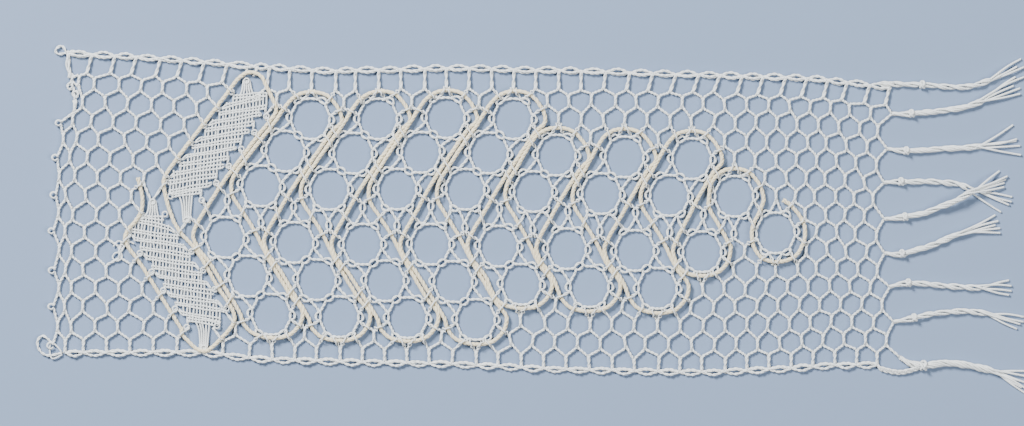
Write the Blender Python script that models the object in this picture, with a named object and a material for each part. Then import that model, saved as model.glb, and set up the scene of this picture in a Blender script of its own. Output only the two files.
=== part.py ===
"""A length of point ground bobbin lace with a thick outlining thread and nine tied ends.

The lace lies flat on its underside, worked from left (-X) to right (+X), with its
straight upper and lower borders along +Y and -Y. It is drawn on the slanted grid of its
pinholes: grid(column, row) gives the place of a pinhole, with row 0 along the upper border,
row 15 along the lower one, and every second column used in each row.
"""

import math

import bpy

MM = 0.001

# Driving sizes of the whole piece, in metres.
CENTRE_X = 62.09 * MM
CENTRE_Y = -0.76 * MM
LACE_THICKNESS = 1.0 * MM
CLEARANCE = 0.3 * MM

# The pinhole grid.
COLUMN_PITCH = 1.42 * MM
FIRST_COLUMN_X = 5.375 * MM
LAST_ROW = 15
LAST_COLUMN = 72
UPPER_BORDER = 1.7 * MM
LOWER_BORDER = 1.55 * MM
SCALLOP = 0.35 * MM
RIM_SMOOTHING = 3.0 * MM
UPPER_LEAN = 0.9 * MM
UPPER_LEAN_COLUMNS = 60

# How the columns bend: near the upper border, down the left end, and in towards the tied ends.
LEAN_COLUMNS = 16
LEAN_FAR = (-0.12, -0.88)
LEAN_NEAR = (1.75, -0.029)
LEAN_ROWS = 3
DRAWN_COLUMNS = (52, 20)
DRAWN_POWER = 1.6
DRAWN_DEPTHS = (1.5, 1.25)
DRAWN_ROWS = 13
START_DRAW = (0.6, 0.4)

# The rows sag where the bands reach the upper border: depth, middle row, rows, columns and easing.
SAG_DEPTH = 0.45 * MM
SAG_ROW = (1.2, 1.6)
SAG_COLUMNS = (15, 41)
SAG_EASING = 1.5

# The two long edges, as hand-cut lengths run: (x, y) where the edge changes direction.
UPPER_EDGE = [
    (0.0, 20.6), (14.0, 19.9), (26.0, 18.9), (36.0, 18.2),
    (53.0, 18.6), (75.0, 18.0), (97.0, 17.3), (107.0, 16.1),
]
LOWER_EDGE = [
    (0.0, -18.0), (21.0, -17.9), (28.0, -18.75), (39.0, -19.1), (51.0, -19.3),
    (65.0, -20.0), (82.0, -20.4), (93.0, -20.0), (101.0, -19.4), (110.0, -19.6),
]

# The loops of thread that the two borders start from: x, y, radius, then first and last angle in degrees.
UPPER_START = (3.5 * MM, 19.9 * MM, 0.75 * MM, 200, 60, 5)
LOWER_START = (1.25 * MM, -16.9 * MM, 1.0 * MM, 280, 100, 6)
LEFT_REACH = -2.0
LEFT_LOOP = 1.5
LEFT_CORNER = [(-1.9, 2.1), (-1.5, 1.2)]

# The nine slanted bands of round holes. Each has an upper and a lower arm.
FIRST_ARM = 10
ARM_STEP = 6
ARM_TOP_ROWS = [0, 2, 2, 2, 2, 4, 4, 4, 6]
ARM_BOTTOM_ROWS = [15, 13, 13, 13, 13, 11, 11, 11, 9]
LAST_RING = (62, 8)
RING_HOLE_RADIUS = 2.1 * MM
RING_HOLE_SIDES = 14

# The thick outlining thread, which lies on the lace.
GIMP_DIAMETER = 0.46 * MM
GIMP_GAP = 0.3
GIMP_STEP = 0.8 * MM
GIMP_BEND = math.radians(16)
GIMP_RUN = 7.0 * MM

# Grid places of the thick thread where it follows no band: its cut end, the two leaves and the last hole.
GIMP_START = [(5.46, 6.0), (5.9, 7.2), (5.64, 8.06), (4.68, 8.9), (4.6, 9.5)]
LEAF_FOOT = [
    (9.4, 14.4), (10.6, 15.2), (11.3, 15.35), (11.9, 15.15), (13.2, 14.25), (13.85, 13.6), (13.7, 12.9),
]
LEAF_MIDDLE = [(12.4, 11.7), (11.4, 10.6), (10.4, 9.65), (9.1, 8.78), (8.3, 7.8), (7.8, 6.8), (7.65, 6.06)]
LEAF_HEAD = [
    (8.0, 5.56), (8.87, 4.71), (10.63, 2.98), (12.41, 1.07), (13.26, 0.13), (14.13, -0.19),
    (15.09, -0.03), (15.91, 0.6), (16.48, 1.09), (16.91, 1.63),
]
GIMP_END = [
    (60.4, 6.9), (59.8, 7.6), (59.7, 8.4), (60.2, 9.15), (61.2, 9.55), (62.6, 9.6),
    (63.9, 9.3), (64.7, 8.6), (64.9, 7.8), (64.4, 7.1), (63.5, 6.5), (62.6, 6.15),
]

# Its turns round the lowest and the highest hole of a band, in columns and rows from that hole.
LOW_TURN = [(-2.4, 0.65), (-1.5, 1.15), (0.1, 1.3), (1.5, 1.1), (2.45, 0.5), (2.7, -0.25)]
HIGH_TURN = [(-2.24, -0.65), (-1.45, -1.12), (-0.3, -1.32), (1.2, -1.2), (2.35, -0.65), (2.85, 0.12)]

# Its course between two bands, in columns from the band's first one and in rows.
WAY_DOWN = [(-4.3, 7.2), (-5.3, 8.3), (-5.7, 9.0), (-5.3, 9.7)]
WAY_UP = [(-0.5, 8.5), (-1.5, 7.5), (-2.4, 6.6)]
BEND_ROW = 6.0
CROSSING = (-2.6, 5.7)
ARM_COLUMNS = 3

# The rows at which it is placed beside an arm, and how near the arm's end hole it still is.
FIRST_DOWN_ROW = 2.2
DOWN_MARGIN = 0.7
LAST_DOWN_ROW = 5.3
LEFT_ROWS = (10.6, 11.8, 13.0, 14.2)
LEFT_MARGIN = 0.3
RIGHT_ROWS = (12.0, 10.9, 9.9)
RIGHT_MARGIN = 0.9
UP_ROWS = (4.7, 3.5, 2.4)

# The tied ends: (distance along the tassel from 0 to 1, radius in mm).
TASSEL_SHAPE = [
    (0.0, 0.3), (0.08, 0.5), (0.14, 0.85), (0.2, 0.5), (0.3, 0.42), (0.75, 0.46), (1.0, 0.62),
]
TASSEL_STEP = 1.5 * MM
TASSEL_START = 0.15 * MM

# Each tassel's course in mm, from its knot to the middle of its loose ends: (x, y, lift off the surface).
# The first and last leave the corners, and the others the points of the right-hand edge.
TASSEL_COURSES = [
    [
        (105.4, 16.15, 0), (108.0, 16.1, 0), (110.75, 16.0, 0), (116.1, 15.75, 0), (119.25, 16.7, 0),
        (123.1, 18.75, 0),
    ],
    [(109.4, 12.4, 0), (114.9, 13.0, 0), (118.0, 13.85, 0), (123.1, 15.6, 0)],
    [(108.75, 7.75, 0), (111.6, 7.9, 0), (117.25, 8.25, 0), (122.8, 8.9, 0)],
    [(108.1, 3.9, 0), (111.6, 3.9, 0), (114.9, 3.7, 0), (121.6, 0.9, 0)],
    [
        (108.6, -0.5, 0), (111.6, 0.2, 0.2), (114.3, 1.3, 0.9), (116.7, 2.5, 1.3), (119.0, 3.5, 1.2),
        (121.2, 4.4, 0.8),
    ],
    [(108.25, -5.1, 0), (112.0, -4.0, 0), (115.25, -2.6, 0), (120.3, -1.3, 0)],
    [(109.0, -8.75, 0), (113.6, -9.1, 0), (117.75, -9.35, 0), (121.8, -9.5, 0)],
    [(109.75, -13.1, 0), (112.75, -12.5, 0), (116.1, -12.25, 0), (118.5, -12.5, 0), (123.2, -13.8, 0)],
    [
        (107.4, -18.6, 0), (110.9, -19.1, 0), (113.6, -18.75, 0), (116.9, -19.1, 0), (119.4, -19.7, 0),
        (123.6, -21.4, 0),
    ],
]
TASSEL_THICKNESS = {1: 0.85, 9: 1.35}
EDGE_POINT = 1.2
EDGE_HOLLOW = 0.3

# Colours of the two threads: (red, green, blue), roughness.
WHITE_COTTON = ((0.82, 0.84, 0.82), 0.85)
IVORY_COTTON = ((0.80, 0.77, 0.65), 0.8)


def along(edge, x):
    """Height of a border at x, in metres, on the straight lengths of its edge."""
    x = x / MM
    if x <= edge[0][0]:
        return edge[0][1] * MM
    for (x_a, y_a), (x_b, y_b) in zip(edge, edge[1:]):
        if x <= x_b:
            return (y_a + (y_b - y_a) * (x - x_a) / (x_b - x_a)) * MM
    return edge[-1][1] * MM


def rim(edge, x):
    """Height of a border at x with its corners eased."""
    weights = {-1.0: 1, -0.5: 2, 0.0: 3, 0.5: 2, 1.0: 1}
    total = sum(weight * along(edge, x + RIM_SMOOTHING * shift) for shift, weight in weights.items())
    return total / sum(weights.values())


def column_x(column, row):
    """The x of a pinhole: the rows lean at the left end and draw in at the right end."""
    lean = min(max(1 - column / LEAN_COLUMNS, 0), 1)
    far = LEAN_FAR[0] + LEAN_FAR[1] * lean
    near = LEAN_NEAR[0] + LEAN_NEAR[1] * column
    drawn = max(column - DRAWN_COLUMNS[0], 0) / DRAWN_COLUMNS[1]
    depth = DRAWN_DEPTHS[0] + DRAWN_DEPTHS[1] * math.sin(math.pi * row / DRAWN_ROWS)
    x = far + (near - far) * math.exp(-row / LEAN_ROWS) - drawn**DRAWN_POWER * depth
    if column < 0:
        least = START_DRAW[1]
        x -= column * START_DRAW[0] * (least + (1 - least) * min(1, row / LEAN_ROWS))
    return FIRST_COLUMN_X + COLUMN_PITCH * column + x * MM


def grid(column, row):
    """The place (x, y) of a pinhole, before the piece is centred."""
    x = column_x(column, row)
    top = rim(UPPER_EDGE, x) - UPPER_BORDER
    bottom = rim(LOWER_EDGE, x) + LOWER_BORDER
    y = top + (bottom - top) * row / LAST_ROW
    rising = 1 / (1 + math.exp((SAG_COLUMNS[0] - column) / SAG_EASING))
    falling = 1 / (1 + math.exp((column - SAG_COLUMNS[1]) / SAG_EASING))
    y -= SAG_DEPTH * math.exp(-(((row - SAG_ROW[0]) / SAG_ROW[1]) ** 2)) * rising * falling
    return x, y


def centred(point):
    """A point of the lace moved so that the piece is centred on the origin."""
    return (point[0] - CENTRE_X, point[1] - CENTRE_Y) + tuple(point[2:])


def smooth(points, step):
    """A smooth curve through the points, with a point about every step."""
    ends = [points[0]] + list(points) + [points[-1]]
    curve = []
    for a, b, c, d in zip(ends, ends[1:], ends[2:], ends[3:]):
        count = max(1, round(math.dist(b, c) / step))
        for index in range(count):
            t = index / count
            curve.append(tuple(
                q + 0.5 * ((r - p) * t + (2 * p - 5 * q + 4 * r - s) * t**2 + (3 * q - p - 3 * r + s) * t**3)
                for p, q, r, s in zip(a, b, c, d)
            ))
    curve.append(tuple(points[-1]))
    return curve


def thinned(points, bend, run):
    """The points that a bent thread needs: one for each bend of this angle, or each run of this length."""
    kept = [points[0]]
    heading = None
    for before, here, after in zip(points, points[1:], points[2:]):
        if heading is None:
            heading = math.atan2(here[1] - before[1], here[0] - before[0])
        turn = math.atan2(after[1] - here[1], after[0] - here[0]) - heading
        turn = abs((turn + math.pi) % (2 * math.pi) - math.pi)
        if turn > bend or math.dist(kept[-1], here) > run:
            kept.append(here)
            heading = None
    return kept + [points[-1]]


def start_loop(x, y, radius, first, last, count):
    """Part of a round loop at the left end, from one angle in degrees to another."""
    angles = [math.radians(first + (last - first) * index / (count - 1)) for index in range(count)]
    return [(x + radius * math.cos(angle), y + radius * math.sin(angle)) for angle in angles]


def outline():
    """The lace's edge, clockwise from the upper left corner."""
    points = start_loop(*UPPER_START)
    for column in range(LAST_COLUMN):
        x = column_x(column, 0) + UPPER_LEAN * (1 - column / UPPER_LEAN_COLUMNS)
        points.append((x, rim(UPPER_EDGE, x) - SCALLOP * (1 - column % 2)))
    for row in range(1, LAST_ROW):
        points.append(grid(LAST_COLUMN + (EDGE_POINT if row % 2 else EDGE_HOLLOW), row))
    for column in range(LAST_COLUMN, -1, -1):
        x = column_x(column, LAST_ROW)
        points.append((x, rim(LOWER_EDGE, x) - SCALLOP * (1 - column % 2)))
    points += start_loop(*LOWER_START)
    for row in range(LAST_ROW - 2, 2, -1):
        points.append(grid(LEFT_REACH - LEFT_LOOP * (row % 2), row))
    return points + [grid(column, row) for column, row in LEFT_CORNER]


def ring_centres():
    """The grid places of the round holes."""
    centres = []
    for band in range(1, len(ARM_TOP_ROWS)):
        first = FIRST_ARM + ARM_STEP * band
        centres += [(first + 6 - row, row) for row in range(ARM_TOP_ROWS[band], 7, 2)]
        centres += [(first - 12 + row, row) for row in range(9, ARM_BOTTOM_ROWS[band] + 1, 2)]
    return centres + [LAST_RING]


def round_hole(column, row):
    """The edge of one round hole."""
    x, y = grid(column, row)
    points = []
    for side in range(RING_HOLE_SIDES):
        angle = 2 * math.pi * side / RING_HOLE_SIDES
        points.append((x + RING_HOLE_RADIUS * math.cos(angle), y + RING_HOLE_RADIUS * math.sin(angle)))
    return points


def gimp_band(band):
    """Grid places of the thick thread round one lower arm, up between the bands and over the upper arm."""
    top = ARM_TOP_ROWS[band]
    bottom = ARM_BOTTOM_ROWS[band]
    first = FIRST_ARM + ARM_STEP * band
    down = first + ARM_COLUMNS - GIMP_GAP
    route = []
    if band:
        row = ARM_TOP_ROWS[band - 1] + DOWN_MARGIN if band > 1 else FIRST_DOWN_ROW
        while row < LAST_DOWN_ROW:
            route.append((down - row, row))
            row += 1
        route.append((first - ARM_COLUMNS - GIMP_GAP, BEND_ROW))
        route += [(first + across, row) for across, row in WAY_DOWN]
    left = first - 5 * ARM_COLUMNS + GIMP_GAP
    route += [(left + row, row) for row in LEFT_ROWS if row < bottom + LEFT_MARGIN]
    if band:
        below = first - 4 * ARM_COLUMNS + bottom
        route += [(below + across, bottom + under) for across, under in LOW_TURN]
        right = first - 3 * ARM_COLUMNS - GIMP_GAP
        route += [(right + row, row) for row in RIGHT_ROWS if row < bottom - RIGHT_MARGIN]
        route += [(first + across, row) for across, row in WAY_UP]
        route.append((first + CROSSING[0] + GIMP_GAP, CROSSING[1]))
        up = first + ARM_COLUMNS + GIMP_GAP
        route += [(up - row, row) for row in UP_ROWS if row > top]
        above = first + 2 * ARM_COLUMNS - top
        route += [(above + across, top + under) for across, under in HIGH_TURN]
    return route


def gimp_route():
    """The whole course of the thick thread, from its first cut end to its last."""
    route = GIMP_START + gimp_band(0) + LEAF_FOOT + LEAF_MIDDLE + LEAF_HEAD
    for band in range(1, len(ARM_TOP_ROWS)):
        route += gimp_band(band)
    return [grid(column, row) for column, row in route + GIMP_END]


def curve_object(name, dimensions):
    """An empty curve object in the scene's own units, with one straight run between points."""
    curve = bpy.data.curves.new(name, "CURVE")
    curve.dimensions = dimensions
    curve.resolution_u = 1
    return bpy.data.objects.new(name, curve)


def add_line(curve, points, cyclic, radii=None):
    """One polyline on a curve."""
    line = curve.splines.new("POLY")
    line.points.add(len(points) - 1)
    for index, point in enumerate(points):
        place = tuple(point) + (0.0,) * (3 - len(point))
        line.points[index].co = place + (1.0,)
        if radii:
            line.points[index].radius = radii[index]
    line.use_cyclic_u = cyclic


def make_lace_ground():
    """The flat worked ground, with its scalloped edges and its round holes."""
    ground = curve_object("lace_ground", "2D")
    ground.data.fill_mode = "BOTH"
    ground.data.extrude = LACE_THICKNESS / 2
    ground.location.z = LACE_THICKNESS / 2
    add_line(ground.data, [centred(point) for point in outline()], True)
    for column, row in ring_centres():
        add_line(ground.data, [centred(point) for point in round_hole(column, row)], True)
    return ground


def make_gimp_thread():
    """The thick thread, which outlines the leaves and the bands of holes."""
    gimp = curve_object("gimp_thread", "3D")
    gimp.data.bevel_depth = GIMP_DIAMETER / 2
    gimp.data.bevel_resolution = 2
    gimp.data.use_fill_caps = True
    height = LACE_THICKNESS + CLEARANCE + GIMP_DIAMETER / 2
    route = thinned(smooth(gimp_route(), GIMP_STEP), GIMP_BEND, GIMP_RUN)
    add_line(gimp.data, [centred(point) + (height,) for point in route], False)
    return gimp


def shape_radius(share):
    """Radius of a tassel in metres at a share of its length: a knot near the lace, then a flared end."""
    for (share_a, radius_a), (share_b, radius_b) in zip(TASSEL_SHAPE, TASSEL_SHAPE[1:]):
        if share <= share_b:
            return (radius_a + (radius_b - radius_a) * (share - share_a) / (share_b - share_a)) * MM
    return TASSEL_SHAPE[-1][1] * MM


def tassel_course(number):
    """The middle line of one tassel at the surface, from the lace to its loose ends, in metres."""
    course = [tuple(value * MM for value in point) for point in TASSEL_COURSES[number - 1]]
    if 1 < number < len(TASSEL_COURSES):
        x, y = grid(LAST_COLUMN + EDGE_POINT, 2 * number - 3)
        course.insert(0, (x + CLEARANCE + TASSEL_START, y, 0.0))
    return smooth(course, TASSEL_STEP)


def make_tassel(number):
    """One bunch of thread ends, knotted beside the lace, lying on the same surface."""
    tassel = curve_object(f"tassel_{number}", "3D")
    tassel.data.bevel_depth = 1.0
    tassel.data.bevel_resolution = 2
    tassel.data.use_fill_caps = True
    course = tassel_course(number)
    thickness = TASSEL_THICKNESS.get(number, 1.0)
    radii = [thickness * shape_radius(index / (len(course) - 1)) for index in range(len(course))]
    points = [centred((x, y, lift + radius)) for (x, y, lift), radius in zip(course, radii)]
    add_line(tassel.data, points, False, radii)
    return tassel


def cotton(name, finish):
    """A matt cotton material."""
    colour, roughness = finish
    material = bpy.data.materials.new(name)
    material.use_nodes = True
    shader = material.node_tree.nodes["Principled BSDF"]
    shader.inputs["Base Color"].default_value = (*colour, 1.0)
    shader.inputs["Roughness"].default_value = roughness
    shader.inputs["Metallic"].default_value = 0.0
    return material


def main():
    """Builds the lace in a collection of its own."""
    for item in list(bpy.data.objects):
        bpy.data.objects.remove(item)
    collection = bpy.data.collections.new("bobbin_lace_piece")
    bpy.context.scene.collection.children.link(collection)
    pieces = [(make_lace_ground(), WHITE_COTTON), (make_gimp_thread(), IVORY_COTTON)]
    pieces += [(make_tassel(number + 1), WHITE_COTTON) for number in range(len(TASSEL_COURSES))]
    for piece, finish in pieces:
        piece.data.materials.append(cotton(piece.name + "_cotton", finish))
        collection.objects.link(piece)


main()
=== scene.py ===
"""Looks of the bobbin lace piece: every thread of the lace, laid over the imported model.

The lace is point ground. Pairs of fine threads run slantwise between the pinholes of a grid and
cross in short upright bars. In the nine bands the pairs work small eyelets round large holes, two
leaves are worked in cloth stitch, and one thick thread outlines leaves and bands.
"""

import logging
import math
import random
from dataclasses import dataclass, field
from enum import Enum

import bpy
import numpy as np
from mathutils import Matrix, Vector


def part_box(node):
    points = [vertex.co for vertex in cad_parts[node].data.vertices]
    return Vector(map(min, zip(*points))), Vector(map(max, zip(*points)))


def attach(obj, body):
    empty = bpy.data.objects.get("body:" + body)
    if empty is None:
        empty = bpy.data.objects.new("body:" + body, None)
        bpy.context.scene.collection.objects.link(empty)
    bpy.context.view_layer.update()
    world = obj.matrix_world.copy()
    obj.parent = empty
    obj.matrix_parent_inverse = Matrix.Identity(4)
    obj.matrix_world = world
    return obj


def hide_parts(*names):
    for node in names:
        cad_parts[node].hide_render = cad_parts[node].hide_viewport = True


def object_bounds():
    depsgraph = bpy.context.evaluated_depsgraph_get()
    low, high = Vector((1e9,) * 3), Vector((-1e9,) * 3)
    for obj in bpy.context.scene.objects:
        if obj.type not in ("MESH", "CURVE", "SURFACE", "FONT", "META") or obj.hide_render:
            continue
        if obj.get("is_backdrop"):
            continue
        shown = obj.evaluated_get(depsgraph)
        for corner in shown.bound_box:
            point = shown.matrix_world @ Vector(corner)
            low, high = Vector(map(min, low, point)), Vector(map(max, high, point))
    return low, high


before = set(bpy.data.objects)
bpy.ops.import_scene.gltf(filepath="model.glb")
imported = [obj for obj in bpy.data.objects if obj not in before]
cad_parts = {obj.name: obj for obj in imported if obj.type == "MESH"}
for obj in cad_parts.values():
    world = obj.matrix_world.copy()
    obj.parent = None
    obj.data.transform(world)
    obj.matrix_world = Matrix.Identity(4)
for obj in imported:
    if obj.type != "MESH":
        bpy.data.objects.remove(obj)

LOG = logging.getLogger("lace")
MM = 0.001
UP = np.array([0.0, 0.0, 1.0])
TINY = 1e-9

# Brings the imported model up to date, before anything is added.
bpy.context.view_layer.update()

Place = tuple[int, int]
Point = tuple[float, float]


class Kind(Enum):
    """What is worked at a pinhole of the grid."""

    BAR = "bar"
    EYELET = "eyelet"
    START = "start"
    LEAF = "leaf"
    EXIT = "exit"


@dataclass(frozen=True)
class Pricking:
    """The pricked pattern: where each pinhole lies, in mm before the piece is centred.

    At the left end the rows lean, from near_shift at the upper border to far_shift below it, each a
    shift and its change with the column. At the right end, from drawn_from on, they draw in. Over
    the bands the rows by the upper border sag.
    """

    centre: Point
    pitch: float = 1.42
    first_column: float = 5.375
    last_row: int = 15
    last_column: int = 72
    upper_border: float = 1.7
    lower_border: float = 1.55
    easing: float = 3.0
    easing_weights: tuple[int, ...] = (1, 2, 3, 2, 1)
    lean_columns: float = 16
    lean_rows: float = 3
    far_shift: Point = (-0.12, -0.88)
    near_shift: Point = (1.75, -0.029)
    drawn_from: float = 52
    drawn_columns: float = 20
    drawn_rows: float = 13
    drawn_power: float = 1.6
    drawn_shift: Point = (1.5, 1.25)
    start_shift: float = 0.6
    start_shares: Point = (0.4, 0.6)
    sag: float = 0.45
    sag_columns: Point = (15, 41)
    sag_ease: float = 1.5
    sag_row: float = 1.2
    sag_rows: float = 1.6
    upper_edge: tuple[Point, ...] = (
        (0.0, 20.6), (14.0, 19.9), (26.0, 18.9), (36.0, 18.2),
        (53.0, 18.6), (75.0, 18.0), (97.0, 17.3), (107.0, 16.1),
    )
    lower_edge: tuple[Point, ...] = (
        (0.0, -18.0), (21.0, -17.9), (28.0, -18.75), (39.0, -19.1), (51.0, -19.3),
        (65.0, -20.0), (82.0, -20.4), (93.0, -20.0), (101.0, -19.4), (110.0, -19.6),
    )
    first_arm: int = 10
    arm_step: int = 6
    upper_elbow: int = 7
    lower_elbow: int = 9
    arm_tops: tuple[int, ...] = (0, 2, 2, 2, 2, 4, 4, 4, 6)
    arm_bottoms: tuple[int, ...] = (15, 13, 13, 13, 13, 11, 11, 11, 9)
    last_ring: Place = (62, 8)

    def rim(self, edge: tuple[Point, ...], x: float) -> float:
        """Height of a border at x with its corners eased.

        Args:
            edge: The border's corner points.
            x: Distance along the lace in mm.

        Returns:
            The border's height in mm.
        """
        xs, ys = zip(*edge)
        shifts = np.linspace(-1, 1, len(self.easing_weights))
        weights = np.array(self.easing_weights) / sum(self.easing_weights)
        return float(weights @ np.interp(x + self.easing * shifts, xs, ys))

    def column_x(self, column: float, row: float) -> float:
        """The x of a pinhole: rows lean at the left end and draw in at the right end.

        Args:
            column: Column of the grid.
            row: Row of the grid.

        Returns:
            Distance along the lace in mm.
        """
        lean = min(max(1 - column / self.lean_columns, 0), 1)
        far = self.far_shift[0] + self.far_shift[1] * lean
        near = self.near_shift[0] + self.near_shift[1] * column
        drawn = max(column - self.drawn_from, 0) / self.drawn_columns
        x = far + (near - far) * math.exp(-row / self.lean_rows)
        even, bowed = self.drawn_shift
        x -= drawn**self.drawn_power * (even + bowed * math.sin(math.pi * row / self.drawn_rows))
        if column < 0:
            even, growing = self.start_shares
            x -= column * self.start_shift * (even + growing * min(1, row / self.lean_rows))
        return self.first_column + self.pitch * column + x

    def at(self, column: float, row: float) -> np.ndarray:
        """The pinhole's place in the model's own frame.

        Args:
            column: Column of the grid, which may be a fraction.
            row: Row of the grid, from 0 at the upper border to last_row at the lower one.

        Returns:
            x and y in mm.
        """
        x = self.column_x(column, row)
        top = self.rim(self.upper_edge, x) - self.upper_border
        bottom = self.rim(self.lower_edge, x) + self.lower_border
        y = top + (bottom - top) * row / self.last_row
        first, last = self.sag_columns
        before = 1 + math.exp(-(column - first) / self.sag_ease)
        after = 1 + math.exp((column - last) / self.sag_ease)
        banded = 1 / before / after
        y -= self.sag * math.exp(-(((row - self.sag_row) / self.sag_rows) ** 2)) * banded
        return np.array([x - self.centre[0], y - self.centre[1]])

    def border(self, upper: bool, x: float) -> float:
        """Height of the outer edge of a border, in the model's own frame, at x of that frame."""
        edge = self.upper_edge if upper else self.lower_edge
        return self.rim(edge, x + self.centre[0]) - self.centre[1]

    def rings(self) -> list[Place]:
        """The pinholes left out for the large round holes.

        Returns:
            Columns and rows, band by band.
        """
        found = []
        for band in range(1, len(self.arm_tops)):
            first = self.first_arm + self.arm_step * band
            upper = range(self.arm_tops[band], self.upper_elbow, 2)
            lower = range(self.lower_elbow, self.arm_bottoms[band] + 1, 2)
            found += [(first + self.arm_step - row, row) for row in upper]
            found += [(first - 2 * self.arm_step + row, row) for row in lower]
        return found + [self.last_ring]


def smooth(points: list, step: float) -> np.ndarray:
    """A smooth curve through points.

    Args:
        points: The points, all of the same number of values.
        step: Distance between the curve's own points.

    Returns:
        The curve, one row for each point.
    """
    ends = np.array([points[0], *points, points[-1]], float)
    curve = []
    for a, b, c, d in zip(ends, ends[1:], ends[2:], ends[3:]):
        count = max(1, round(float(np.linalg.norm((c - b)[:3])) / step))
        square, cube = 2 * a - 5 * b + 4 * c - d, 3 * b - a - 3 * c + d
        for t in np.arange(count) / count:
            curve.append(0.5 * (2 * b + (c - a) * t + square * t**2 + cube * t**3))
    curve.append(ends[-1])
    return np.array(curve)


def level(points: np.ndarray, height: float | np.ndarray) -> np.ndarray:
    """Flat points raised to a height, as rows of x, y and z."""
    return np.column_stack([points, np.broadcast_to(height, len(points))])


def sideways(line: np.ndarray) -> np.ndarray:
    """The level direction square to a line at each of its points.

    Args:
        line: Points in rows of x, y and z.

    Returns:
        One unit vector for each point.
    """
    heading = np.gradient(line, axis=0)
    heading[:, 2] = 0
    length = np.maximum(np.linalg.norm(heading, axis=1, keepdims=True), TINY)
    return np.cross(UP, heading / length)


@dataclass
class ThreadMesh:
    """One mesh made of round threads, in mm until it is built."""

    sides: int = 5
    steep: float = 0.1
    points: list[np.ndarray] = field(default_factory=list)
    quads: list[np.ndarray] = field(default_factory=list)
    caps: list[tuple[int, ...]] = field(default_factory=list)
    along: list[np.ndarray] = field(default_factory=list)
    count: int = 0

    def add(self, line: np.ndarray, radius: float | np.ndarray) -> None:
        """Adds one thread along a line.

        Args:
            line: Points in rows of x, y and z, in mm.
            radius: The thread's radius in mm, or one for each point.
        """
        steps = np.diff(line, axis=0)
        headings = np.vstack([steps[:1], steps[1:] + steps[:-1], steps[-1:]])
        headings /= np.maximum(np.linalg.norm(headings, axis=1, keepdims=True), TINY)
        first = np.cross(UP, headings[0])
        if np.linalg.norm(first) < self.steep:
            first = np.array([1.0, 0.0, 0.0])
        normals = np.empty_like(line)
        for index, heading in enumerate(headings):
            first = first - heading * (first @ heading)
            first /= max(np.linalg.norm(first), TINY)
            normals[index] = first
        others = np.cross(headings, normals)
        angles = 2 * math.pi * np.arange(self.sides) / self.sides
        radii = np.broadcast_to(radius, len(line))[:, None, None]
        ring = np.cos(angles)[None, :, None] * normals[:, None]
        ring = ring + np.sin(angles)[None, :, None] * others[:, None]
        self.points.append((line[:, None] + radii * ring).reshape(-1, 3))
        rows = self.count + self.sides * np.arange(len(line) - 1)[:, None]
        here = np.arange(self.sides)[None]
        after = (here + 1) % self.sides
        beyond = rows + self.sides
        sheet = np.stack([rows + here, rows + after, beyond + after, beyond + here], axis=2)
        self.quads.append(sheet.reshape(-1, 4))
        last = self.count + self.sides * (len(line) - 1)
        self.caps.append(tuple(self.count + side for side in reversed(range(self.sides))))
        self.caps.append(tuple(last + side for side in range(self.sides)))
        run = np.concatenate([[0], np.cumsum(np.linalg.norm(steps, axis=1))])
        across = np.arange(self.sides + 1) / self.sides
        corners = np.empty((len(line) - 1, self.sides, 4, 2))
        corners[:, :, 0, 0] = corners[:, :, 3, 0] = across[:-1]
        corners[:, :, 1, 0] = corners[:, :, 2, 0] = across[1:]
        corners[:, :, 0, 1] = corners[:, :, 1, 1] = run[:-1, None]
        corners[:, :, 2, 1] = corners[:, :, 3, 1] = run[1:, None]
        self.along.append(corners.reshape(-1, 2))
        self.count += len(line) * self.sides

    def pair(self, line: np.ndarray, turns: float, radius: float, gap: float | np.ndarray) -> None:
        """Adds two threads twisted round each other.

        Args:
            line: The middle of the pair, in mm.
            turns: Half turns of the twist over the line's length.
            radius: Each thread's radius in mm.
            gap: Half the distance between the threads' middles, or one for each point.
        """
        share = np.linspace(0, 1, len(line))
        self.twisted(line, math.pi * turns * share, radius, gap)

    def twisted(self, line: np.ndarray, angle: np.ndarray, radius: float, gap: float | np.ndarray) -> None:
        """Adds two threads on opposite sides of a line.

        Args:
            line: The middle of the pair, in mm.
            angle: The first thread's angle round the line at each point.
            radius: Each thread's radius in mm.
            gap: Half the distance between the threads' middles, or one for each point.
        """
        away = np.cos(angle)[:, None] * sideways(line) + np.sin(angle)[:, None] * UP
        away = away * np.broadcast_to(gap, len(line))[:, None]
        for side in (1, -1):
            self.add(line + side * away, radius)

    def build(self, name: str) -> bpy.types.Object:
        """Makes the mesh object.

        Args:
            name: The piece's name.

        Returns:
            The object, linked to the scene.
        """
        points = np.vstack(self.points) * MM
        quads = np.vstack(self.quads)
        mesh = bpy.data.meshes.new(name)
        mesh.vertices.add(len(points))
        mesh.vertices.foreach_set("co", points.ravel().astype(np.float32))
        caps = np.array(self.caps, np.int32)
        loops = np.concatenate([quads.ravel(), caps.ravel()]).astype(np.int32)
        cap_starts = quads.size + self.sides * np.arange(len(caps))
        starts = np.concatenate([4 * np.arange(len(quads)), cap_starts])
        mesh.loops.add(len(loops))
        mesh.loops.foreach_set("vertex_index", loops)
        mesh.polygons.add(len(starts))
        mesh.polygons.foreach_set("loop_start", starts.astype(np.int32))
        mesh.update(calc_edges=True)
        mesh.validate()
        layer = mesh.uv_layers.new(name="thread")
        corners = np.vstack([*self.along, np.zeros((caps.size, 2))])
        layer.data.foreach_set("uv", corners.ravel().astype(np.float32))
        mesh.shade_smooth()
        piece = bpy.data.objects.new(name, mesh)
        bpy.context.scene.collection.objects.link(piece)
        LOG.info("%s: %d faces", name, len(mesh.polygons))
        return piece


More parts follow.
